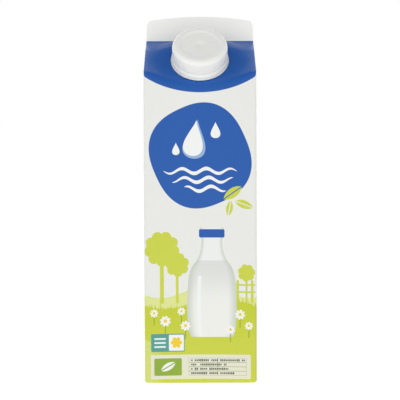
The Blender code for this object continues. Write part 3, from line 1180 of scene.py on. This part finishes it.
print("ink groups:", sorted(group.name for group in bpy.data.node_groups))

# %% [markdown]
# ## The print
#
# The design is a plain one in the colours of such cartons: a blue roof that ends in an arc, a
# blue pebble with a drop of milk, and a meadow with trees and a bottle. The colours below are
# the ones that the eye should see. The board's shine adds a little light to them, and the
# studio is a little brighter than white, so both are taken off before a colour becomes ink.

# %% Ink colours
SHINE = 0.018
LIGHT_LEVEL = 1.07
DARKEST = 0.004


def ink_colour(red, green, blue):
    """The ink that reads as this colour, given in steps of 255, under the studio's light."""
    parts = []
    for step in (red, green, blue):
        share = step / 255.0
        linear = share / 12.92 if share < 0.04045 else ((share + 0.055) / 1.055) ** 2.4
        parts.append(max(linear - SHINE, DARKEST) / LIGHT_LEVEL)
    return (parts[0], parts[1], parts[2], 1.0)


BOARD_WHITE = ink_colour(232, 233, 228)
# Painted light: the fin's white is brighter than the body's, to make up for the shade that the roof
# and the cap give the fin.
FIN_PAINTED_LIGHT_WHITE = ink_colour(247, 247, 242)
BRIGHT_WHITE = ink_colour(240, 242, 240)
BLUE = ink_colour(46, 96, 176)
PALE_BLUE = ink_colour(150, 180, 216)
LEAF_GREEN = ink_colour(203, 211, 78)
FAR_GREEN = ink_colour(221, 227, 150)
TOP_GREEN = ink_colour(196, 205, 56)
LOW_GREEN = ink_colour(202, 210, 72)
EDGE_GREEN = ink_colour(211, 220, 117)
DARK_GREEN = ink_colour(150, 170, 60)
SUN_YELLOW = ink_colour(240, 205, 60)
GLASS = ink_colour(220, 222, 218)
GLASS_EDGE = ink_colour(196, 203, 190)
MILK = ink_colour(236, 237, 232)
PALE_PANEL = ink_colour(228, 227, 205)
TEAL = ink_colour(90, 160, 150)
LABEL_GREEN = ink_colour(145, 174, 64)
GREY_INK = ink_colour(96, 104, 92)


def flat_ink(under, colour, mask):
    return node("Mix", {0: mask, 6: under, 7: colour}, data_type="RGBA").outputs[2]


# %% Places on the blank that repeat
artwork, entry, result = new_group(
    "carton_print", {"Place": ORIGIN, "Fin": 0.0}, {"Color": "Color", "Ink": "Float"})
PITCH = PANEL_PITCH / MM
place = entry["Place"]
u, v = split(place)[:2]
right_place = vector_maths("SUBTRACT", place, (PITCH, 0.0, 0.0))
left_place = vector_maths("SUBTRACT", place, (-PITCH, 0.0, 0.0))
back_place = vector_maths("SUBTRACT", place, (2.0 * PITCH, 0.0, 0.0))
broad_place = join(maths("WRAP", u, PITCH, -PITCH), v)
narrow_u = minus(u, PITCH)
narrow_place = join(maths("WRAP", narrow_u, PITCH, -PITCH), v)

# %% How ink is laid on the blank
sheet = {"shown": BOARD_WHITE}


def cover(colour, mask):
    """Lays an ink over what is already printed, where the mask is 1."""
    sheet["shown"] = flat_ink(sheet["shown"], colour, mask)


def draw(colour, group, place, centre, **values):
    """Lays one shape in one ink over what is already printed. Lengths are in millimetres."""
    inputs = {"Place": place, "Centre": (centre[0], centre[1], 0.0)}
    for key, value in values.items():
        inputs[key.capitalize()] = value
    cover(colour, use(group, inputs)["Mask"])


# %% The meadow, the trees and a fence
draw(FAR_GREEN, hill, place, (-10.6, 57.0), swing=3.5, waves=5.0)
GROUND = 50.0
TREES = (
    ((-24.0, 84.0), 11.0, 9.0, 0.16),
    ((-14.5, 74.0), 7.5, 7.0, 0.18),
    ((28.5, 69.0), 5.5, 7.0, 0.18),
    ((PITCH + 12.0, 74.0), 9.0, 8.0, 0.16),
    ((PITCH - 16.0, 68.0), 5.5, 7.0, 0.18),
    ((-PITCH + 5.0, 76.0), 9.5, 9.0, 0.16),
    ((2.0 * PITCH - 15.0, 82.0), 11.0, 9.0, 0.16),
    ((2.0 * PITCH + 12.0, 74.0), 8.0, 8.0, 0.17),
    ((2.0 * PITCH + 25.0, 69.0), 5.5, 7.0, 0.18),
)
TRUNK_WIDTH = 0.11
for centre, radius, lobes, depth in TREES:
    trunk_middle = (centre[0], (centre[1] + GROUND) / 2.0)
    draw(LEAF_GREEN, blossom, place, centre, radius=radius, lobes=lobes, depth=depth, turn=radius)
    draw(LEAF_GREEN, bar, place, trunk_middle, wide=radius * TRUNK_WIDTH,
         high=(centre[1] - GROUND) / 2.0, round=0.3)
FENCE_HEIGHT = 57.0
for height in (FENCE_HEIGHT, FENCE_HEIGHT + 4.5):
    draw(LEAF_GREEN, bar, broad_place, (14.0, height), wide=20.0, high=0.55, round=0.5)
for post in range(5):
    draw(LEAF_GREEN, bar, broad_place, (-4.0 + 9.0 * post, FENCE_HEIGHT + 0.5), wide=0.8, high=7.0,
         round=0.7)
near_green = node("MapRange", {0: v, 1: 20.0, 2: 52.0}).outputs[0]
meadow_ink = flat_ink(LOW_GREEN, TOP_GREEN, near_green)
draw(meadow_ink, hill, place, (-4.4, 49.0), swing=3.0, waves=4.0, tufts=9.0)
near_edge = spread(u, -33.0, -22.0, 1.0, 0.0)
edge_ink = flat_ink(LOW_GREEN, EDGE_GREEN, near_edge)
draw(edge_ink, hill, place, (-15.1, 27.0), swing=2.2, waves=7.0, tufts=6.0)
print("nodes so far:", len(artwork.nodes))

# %% The bottle
MILK_TOP = 0.70
SHINE_TOP = 0.56
SHINE_PLACE = 0.52
LID_RISE = 30.4
for bottle_place, x_place, y_place in ((place, 7.0, 63.0), (back_place, 6.4, 61.0)):
    centre = (x_place, y_place, 0.0)
    made = use(bottle, {"Place": bottle_place, "Centre": centre, "Wide": 15.0, "High": 34.0})
    roundness = spread(maths("ABSOLUTE", made["Across"]), 0.62, 1.0, 0.0, 1.0)
    body = flat_ink(MILK, GLASS, spread(made["Up"], 0.30, 0.66, 0.0, 1.0))
    above_milk = maths("GREATER_THAN", made["Up"], MILK_TOP)
    body = flat_ink(body, BRIGHT_WHITE, times(above_milk, 0.8))
    body = flat_ink(body, GLASS_EDGE, times(roundness, 0.75))
    from_shine = maths("ABSOLUTE", plus(made["Across"], SHINE_PLACE))
    shine_line = node("MapRange", {0: from_shine, 1: 0.09, 2: 0.05}).outputs[0]
    low_part = maths("LESS_THAN", made["Up"], SHINE_TOP)
    body = flat_ink(body, BRIGHT_WHITE, times(shine_line, low_part))
    cover(body, made["Mask"])
    draw(BLUE, bar, bottle_place, (x_place, y_place + LID_RISE), wide=7.9, high=2.6, round=1.0)

# %% Daisies in the grass
DAISIES = ((-29.0, 44.0, 2.6), (-22.0, 39.0, 3.4), (-12.0, 45.0, 2.5), (-9.5, 36.0, 3.2),
           (24.5, 43.0, 3.2), (30.0, 36.0, 2.6), (18.5, 33.5, 2.8))
EYE_SHARE = 0.32
for flower_place in (broad_place, narrow_place):
    for x_place, height, radius in DAISIES:
        draw(DARK_GREEN, bar, flower_place, (x_place, height - radius - 2.2), wide=0.3, high=2.8,
             round=0.25)
        draw(BRIGHT_WHITE, blossom, flower_place, (x_place, height), radius=radius, lobes=8.0,
             depth=0.42, turn=height)
        draw(SUN_YELLOW, pebble, flower_place, (x_place, height + 0.1), wide=radius * EYE_SHARE,
             high=radius * EYE_SHARE)

# %% The blue pebble with a drop of milk
PEBBLE_TURN = math.radians(24.0)
DROP_TURN = math.radians(-8.0)
draw(BLUE, pebble, broad_place, (0.0, 141.5), turn=PEBBLE_TURN, wide=30.0, high=31.5, power=2.5)
draw(PALE_BLUE, drop, broad_place, (-3.0, 152.0), turn=DROP_TURN, wide=7.2, high=12.5)
draw(BRIGHT_WHITE, drop, broad_place, (-3.7, 152.7), turn=DROP_TURN, wide=6.2, high=11.5)
for centre, size in (((9.5, 157.5), 3.1), ((-15.0, 146.0), 2.4)):
    draw(BRIGHT_WHITE, drop, broad_place, centre, wide=size, high=size * 1.7)
for height, reach, phase in ((132.0, 23.0, 0.0), (126.5, 19.0, 1.5), (121.0, 13.0, 3.0)):
    draw(BRIGHT_WHITE, wave, broad_place, (phase, height), long=reach, swing=1.5, length=15.0,
         thick=1.25)
for centre, turn, size in (((20.0, 118.5), 35.0, 7.0), ((27.0, 111.5), -20.0, 6.0),
                           ((18.0, 109.0), 80.0, 5.0)):
    draw(LEAF_GREEN, leaf, broad_place, centre, turn=math.radians(turn), long=size,
         wide=size * 0.42, rib=0.3)
print("nodes so far:", len(artwork.nodes))

# %% The foot of the front: a pale panel, a table and two labels
draw(PALE_PANEL, bar, broad_place, (0.0, 10.4), wide=31.2, high=7.6, round=0.8)
draw(GREY_INK, table, broad_place, (10.5, 10.4), wide=18.0, high=5.4, rows=4.0, columns=2.0,
     line=0.1)
draw(GREY_INK, words, broad_place, (10.8, 10.4), wide=17.0, high=5.2, pitch=2.7)
draw(LABEL_GREEN, bar, broad_place, (-20.5, 10.4), wide=8.6, high=5.4, round=0.8)
draw(BRIGHT_WHITE, leaf, broad_place, (-20.4, 10.6), turn=math.radians(30.0), long=5.4, wide=2.2,
     rib=0.35)
draw(TEAL, bar, broad_place, (-20.5, 25.5), wide=10.5, high=5.6, round=0.9)
draw(BRIGHT_WHITE, bar, broad_place, (-15.2, 25.5), wide=4.7, high=5.0, round=0.6)
draw(SUN_YELLOW, blossom, broad_place, (-15.2, 25.6), radius=3.6, lobes=6.0, depth=0.35)
for height in (28.0, 25.5, 23.0):
    draw(BRIGHT_WHITE, bar, broad_place, (-25.4, height), wide=3.6, high=0.5, round=0.4)

# %% The sides: a small pebble, small print, a table and three round signs
draw(BLUE, pebble, narrow_place, (0.0, 163.0), turn=PEBBLE_TURN, wide=15.5, high=16.5, power=2.5)
draw(BRIGHT_WHITE, drop, narrow_place, (0.0, 164.5), turn=DROP_TURN, wide=5.4, high=9.5)
draw(BLUE, words, narrow_place, (0.0, 135.0), wide=27.0, high=7.0, pitch=3.5)
draw(BLUE, table, narrow_place, (0.0, 112.0), wide=27.0, high=12.0, rows=6.0, columns=3.0,
     line=0.12)
draw(GREY_INK, words, narrow_place, (0.4, 112.1), wide=25.5, high=11.8, pitch=4.0)
for x_place in (-19.0, 0.0, 19.0):
    draw(BLUE, pebble, narrow_place, (x_place, 90.0), wide=6.6, high=6.6)
draw(BRIGHT_WHITE, drop, narrow_place, (-19.0, 90.4), wide=2.8, high=4.6)
draw(BRIGHT_WHITE, leaf, narrow_place, (0.0, 90.2), turn=math.radians(40.0), long=5.0, wide=2.2,
     rib=0.3)
draw(BRIGHT_WHITE, blossom, narrow_place, (19.0, 90.2), radius=4.4, lobes=5.0, depth=0.4)
draw(BRIGHT_WHITE, bar, left_place, (0.0, 19.0), wide=20.0, high=11.0, round=0.8)
draw(GREY_INK, stripes, left_place, (0.0, 20.5), wide=16.5, high=7.0, pitch=0.62)
draw(PALE_PANEL, bar, right_place, (0.0, 17.0), wide=27.0, high=9.0, round=0.8)
draw(GREY_INK, words, right_place, (0.3, 17.2), wide=25.0, high=6.8, pitch=3.4)
draw(BLUE, words, back_place, (0.0, 102.0), wide=26.0, high=3.5, pitch=3.5)

# %% The blue roof, the fin in a brighter white as painted light, and the bare base
ARC_RADIUS = 59.0
ARC_FOOT = 180.4
ARC_REACH = 35.0
BASE_START = -5.0
INK_SHARPNESS = 3.0
reach = maths("MINIMUM", maths("ABSOLUTE", u), ARC_REACH)
square = minus(ARC_RADIUS ** 2, times(reach, reach))
arc_line = minus(ARC_FOOT + ARC_RADIUS, maths("POWER", square, 0.5))
roof_mask = soft_edge(minus(v, arc_line))
cover(BLUE, roof_mask)
draw(BRIGHT_WHITE, bar, back_place, (0.0, 212.0), wide=17.0, high=5.0, round=1.2)
draw(GREY_INK, stripes, back_place, (0.0, 213.6), wide=13.0, high=1.3, pitch=1.4)
draw(GREY_INK, stripes, back_place, (2.0, 210.2), wide=11.0, high=1.3, pitch=1.4)
for height in (200.5, 197.0):
    draw(PALE_BLUE, wave, back_place, (0.0, height), long=28.0, swing=0.9, length=14.0, thick=0.6)
# Painted light: the fin gets the brighter white, which makes up for the shade of the roof and the
# cap in front of it.
cover(FIN_PAINTED_LIGHT_WHITE, entry["Fin"])
cover(BOARD_WHITE, maths("LESS_THAN", v, BASE_START))
bare = vector_maths("DISTANCE", sheet["shown"], BOARD_WHITE[:3])
plug(maths("MINIMUM", times(bare, INK_SHARPNESS), 1.0), result["Ink"])
plug(sheet["shown"], result["Color"])
print("nodes of the print:", len(artwork.nodes))

# %% [markdown]
# ## Finishes
#
# The board is paper pulp between two thin films of plastic. Seen close, it has a fine grain,
# a slow waviness, a press of fine ribs where the fin is sealed, and cracks in the ink along
# its folds. A picture of board would repeat and would not know where the folds are. Noise and
# the fold values do know, so both go into one group that gives masks and a height.

# %% The board's surface
SEAM_PLACE = 2.5 * PANEL_PITCH / MM - 1.4
PRESS_PITCH = 1.6
FIN_LIGHT_START = FIN_BASE + 0.1 * MM
FIN_LIGHT_FADE = 0.4 * MM
SEAL_START = FIN_BASE + 4.0 * MM
SEAL_STOP = FIN_TOP - 4.2 * MM
SEAL_FADE = 0.6 * MM
board_surface, entry, result = new_group(
    "board_surface", {"Position": ORIGIN, "Place": ORIGIN, "Fold": 0.0},
    {"Height": "Float", "Mottle": "Float", "Crack": "Float", "Fin": "Float", "Rub": "Float"})
grain = noise_at(entry["Position"], scale=1500.0, detail=3.0, roughness=0.6)
stretch = vector_maths("MULTIPLY", entry["Position"], (3.0, 3.0, 0.6))
fibres = noise_at(stretch, scale=420.0, detail=4.0, roughness=0.55)
slow = noise_at(entry["Position"], scale=55.0, detail=2.0)
u = split(entry["Place"])[0]
z = split(entry["Position"])[2]
# Mask of the fin, where the brighter white is laid as painted light.
fin_painted_light_mask = spread(z, FIN_LIGHT_START, FIN_LIGHT_START + FIN_LIGHT_FADE, 0.0, 1.0)
seal_low = spread(z, SEAL_START, SEAL_START + SEAL_FADE, 0.0, 1.0)
seal_high = spread(z, SEAL_STOP - SEAL_FADE, SEAL_STOP, 1.0, 0.0)
press = maths("SINE", times(u, math.tau / PRESS_PITCH))
press = times(times(press, seal_low), seal_high)
seam = spread(u, SEAM_PLACE - 0.5, SEAM_PLACE + 0.5, 0.0, 1.0)
crack_noise = noise_at(entry["Position"], scale=900.0, detail=5.0, roughness=0.7)
patches = noise_at(entry["Position"], scale=120.0, detail=2.0)
likely = times(entry["Fold"], times(crack_noise, patches))
crack = spread(likely, 0.34, 0.46, 0.0, 1.0)
height = times(grain, 0.08)
RELIEF = ((fibres, 0.10), (slow, 1.0), (press, 0.14), (seam, 1.6), (crack, -0.5))
for layer, weight in RELIEF:
    height = maths("MULTIPLY_ADD", layer, weight, height)
plug(height, result["Height"])
plug(fibres, result["Mottle"])
plug(crack, result["Crack"])
plug(fin_painted_light_mask, result["Fin"])
plug(slow, result["Rub"])


# %% Coated, printed board
def new_material(name, roughness, shine):
    material = bpy.data.materials.new(name)
    material.use_nodes = True
    work_on(material.node_tree)
    shader = current_tree.nodes["Principled BSDF"]
    shader.inputs["Roughness"].default_value = roughness
    shader.inputs["Specular IOR Level"].default_value = shine
    return material, shader


def add_bump(shader, height, strength, distance):
    bump = node("Bump", {"Height": height, "Strength": strength, "Distance": distance})
    plug(bump.outputs[0], shader.inputs["Normal"])


def object_place():
    return node("TexCoord", {}).outputs["Object"]


FIBRE_WHITE = ink_colour(226, 224, 214)
CRACK_DEPTH = 0.5
BARE_ROUGHNESS = 0.38
INK_SMOOTHING = -0.13
RUB_ROUGHENING = 0.08
board_material, shader = new_material("coated_board", roughness=0.40, shine=0.40)
blank_place = node("UVMap", {}, uv_map="blank").outputs[0]
fold = node("Attribute", {}, attribute_name="fold").outputs["Fac"]
surface = use(board_surface, {"Position": object_place(), "Place": blank_place, "Fold": fold})
printed = use(artwork, {"Place": blank_place, "Fin": surface["Fin"]})
mottle = node("MapRange", {0: surface["Mottle"], 1: 0.25, 2: 0.75, 3: 0.992, 4: 1.008})
mottled = vector_maths("MULTIPLY", printed["Color"], mottle.outputs[0])
cracked = flat_ink(mottled, FIBRE_WHITE, times(surface["Crack"], CRACK_DEPTH))
plug(cracked, shader.inputs["Base Color"])
roughness = maths("MULTIPLY_ADD", printed["Ink"], INK_SMOOTHING, BARE_ROUGHNESS)
roughness = maths("MULTIPLY_ADD", surface["Rub"], RUB_ROUGHENING, roughness)
plug(roughness, shader.inputs["Roughness"])
add_bump(shader, surface["Height"], strength=0.25, distance=0.1 * MM)
print("board material nodes:", len(current_tree.nodes))

# %% [markdown]
# The cut top of the fin shows the bare edges of four layers of board. The pulp is creamier
# than the coating, and the blade of the press leaves short strokes across it.

# %% Raw edges of the board
edge_material, shader = new_material("raw_board_edge", roughness=0.75, shine=0.2)
position = object_place()
stretch = vector_maths("MULTIPLY", position, (1.0, 6.0, 1.0))
strokes = noise_at(stretch, scale=900.0, detail=4.0)
y = split(position)[1]
layer = maths("PINGPONG", over(y, HALF_FIN), 0.25)
groove = spread(layer, 0.0, 0.07, 1.0, 0.0)
pulp = flat_ink(ink_colour(222, 216, 200), ink_colour(238, 235, 226), strokes)
pulp = flat_ink(pulp, ink_colour(198, 191, 176), times(groove, 0.5))
plug(pulp, shader.inputs["Base Color"])
rough = maths("MULTIPLY_ADD", strokes, 0.2, 0.65)
plug(rough, shader.inputs["Roughness"])
add_bump(shader, strokes, strength=0.4, distance=0.08 * MM)

# %% [markdown]
# The cap, its band and the flange are moulded from white polyethylene. It is satin, a little
# uneven where the melt cooled, with a few fine specks. One group gives the unevenness, and
# each piece has its own white and its own sheen.

# %% Moulded plastic
moulded, entry, result = new_group(
    "moulded_surface", {"Position": ORIGIN}, {"Height": "Float", "Cloud": "Float", "Speck": "Float"})
fine = noise_at(entry["Position"], scale=2600.0, detail=2.0)
cloud = noise_at(entry["Position"], scale=160.0, detail=3.0)
speck = node("TexVoronoi", {
    "Vector": entry["Position"], "Scale": 420.0, "Randomness": 1.0}).outputs["Distance"]
speck = spread(speck, 0.04, 0.09, 1.0, 0.0)
height = maths("MULTIPLY_ADD", fine, 0.5, times(cloud, 0.3))
plug(height, result["Height"])
plug(cloud, result["Cloud"])
plug(speck, result["Speck"])


def plastic(name, light, shade, roughness):
    """A white plastic between two shades, with its own sheen."""
    material, shader = new_material(name, roughness, shine=0.30)
    surface = use(moulded, {"Position": object_place()})
    clouds = spread(surface["Cloud"], 0.3, 0.7, 0.0, 1.0)
    colour = flat_ink(light, shade, clouds)
    colour = flat_ink(colour, shade, times(surface["Speck"], 0.5))
    plug(colour, shader.inputs["Base Color"])
    sheen = maths("MULTIPLY_ADD", surface["Cloud"], 0.08, roughness - 0.04)
    plug(sheen, shader.inputs["Roughness"])
    add_bump(shader, surface["Height"], strength=0.25, distance=0.06 * MM)
    return material


cap_plastic = plastic("satin_cap", ink_colour(242, 242, 239), ink_colour(240, 240, 237), 0.36)
band_plastic = plastic("satin_band", ink_colour(244, 244, 241), ink_colour(241, 241, 238), 0.40)
spout_plastic = plastic("satin_spout", ink_colour(243, 243, 239), ink_colour(240, 240, 236), 0.44)
print("materials:", [material.name for material in bpy.data.materials])

# %% Make the pieces
BOARD_SMOOTH = 50.0
PLASTIC_SMOOTH = 40.0
board = finish_piece("board", board_builder, (board_material, edge_material), BOARD_SMOOTH)
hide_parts("carton")
cap = finish_piece("screw_cap", cap_builder, (cap_plastic,), PLASTIC_SMOOTH)
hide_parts("cap")
band = finish_piece("band_ring", band_builder, (band_plastic,), PLASTIC_SMOOTH)
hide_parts("tamper_band")
bridges = finish_piece("band_bridges", bridge_builder, (band_plastic,), PLASTIC_SMOOTH)
flange = finish_piece("spout_flange", flange_builder, (spout_plastic,), PLASTIC_SMOOTH)
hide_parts("spout")

# %% [markdown]
# ## Studio
#
# A pack shot on white is lit from the front: large soft boxes stand behind the camera, so
# upright faces are the brightest and the roof is a little darker. Here the world itself is that
# soft light, a broad bright lobe towards the front and dimmer elsewhere. A light path decides
# who sees what: the camera sees a plain white backdrop, the lit faces see the lobe, and
# reflections see a bright backdrop behind and a darker room in front.

# %% Floor
FLOOR_REACH = 6.0
FLOOR_GLOW = 0.60
FLOOR_SEEN_GLOW = 0.86
FLOOR_SEEN = 0.28
FLOOR_BOUNCE = 0.75
floor_builder = bmesh.new()
bmesh.ops.create_grid(floor_builder, x_segments=1, y_segments=1, size=FLOOR_REACH)
floor_mesh = bpy.data.meshes.new("floor")
floor_builder.to_mesh(floor_mesh)
floor_builder.free()
floor_material, shader = new_material("pale_floor", roughness=0.9, shine=0.0)
seen = node("LightPath", {}).outputs["Is Camera Ray"]
bounce = (FLOOR_BOUNCE, FLOOR_BOUNCE, FLOOR_BOUNCE, 1.0)
plug(flat_ink(bounce, (FLOOR_SEEN, FLOOR_SEEN, FLOOR_SEEN, 1.0), seen), shader.inputs["Base Color"])
shader.inputs["Emission Color"].default_value = (1.0, 1.0, 1.0, 1.0)
glow = maths("MULTIPLY_ADD", seen, FLOOR_SEEN_GLOW - FLOOR_GLOW, FLOOR_GLOW)
plug(glow, shader.inputs["Emission Strength"])
floor_mesh.materials.append(floor_material)
floor = bpy.data.objects.new("floor", floor_mesh)
bpy.context.scene.collection.objects.link(floor)

# %% World
LOBE_PLACE = (-0.15, -0.98, 0.10)
LOBE_LEVEL = 1.53
ROOM_LEVEL = 0.76
LOBE_START = -0.1
OVERHEAD = 0.42
OVERHEAD_START = 0.25
OVERHEAD_STOP = 0.95
BACKDROP_START = 0.30
BACKDROP_STOP = 0.65
BACK_GLOSS = 2.8
FRONT_GLOSS = 0.30
scene = bpy.context.scene
scene.view_settings.view_transform = "Standard"
world = bpy.data.worlds.new("studio")
scene.world = world
world.use_nodes = True
work_on(world.node_tree)
direction = node("TexCoord", {}).outputs["Generated"]
facing = vector_maths("DOT_PRODUCT", direction, LOBE_PLACE)
lobe = spread(facing, LOBE_START, 1.0, ROOM_LEVEL, LOBE_LEVEL)
y, z = split(direction)[1:]
lobe = times(lobe, spread(z, OVERHEAD_START, OVERHEAD_STOP, 1.0, OVERHEAD))
gloss = spread(y, BACKDROP_START, BACKDROP_STOP, FRONT_GLOSS, BACK_GLOSS)
path = node("LightPath", {})
level = flat_ink(lobe, gloss, path.outputs["Is Glossy Ray"])
level = flat_ink(level, (1.0, 1.0, 1.0, 1.0), path.outputs["Is Camera Ray"])
plug(level, current_tree.nodes["Background"].inputs["Color"])

# %% Camera
CAMERA_LENS = 131.1
CAMERA_PLACE = (-0.0002, -0.935, 0.150)
CAMERA_DROP = 2.293
CAMERA_ROLL = -0.2
camera_data = bpy.data.cameras.new("photo_camera")
camera_data.lens = CAMERA_LENS
camera = bpy.data.objects.new("photo_camera", camera_data)
scene.collection.objects.link(camera)
pitch = Matrix.Rotation(math.radians(90.0 - CAMERA_DROP), 4, "X")
roll = Matrix.Rotation(math.radians(CAMERA_ROLL), 4, "Z")
camera.matrix_world = Matrix.Translation(CAMERA_PLACE) @ pitch @ roll
scene.camera = camera
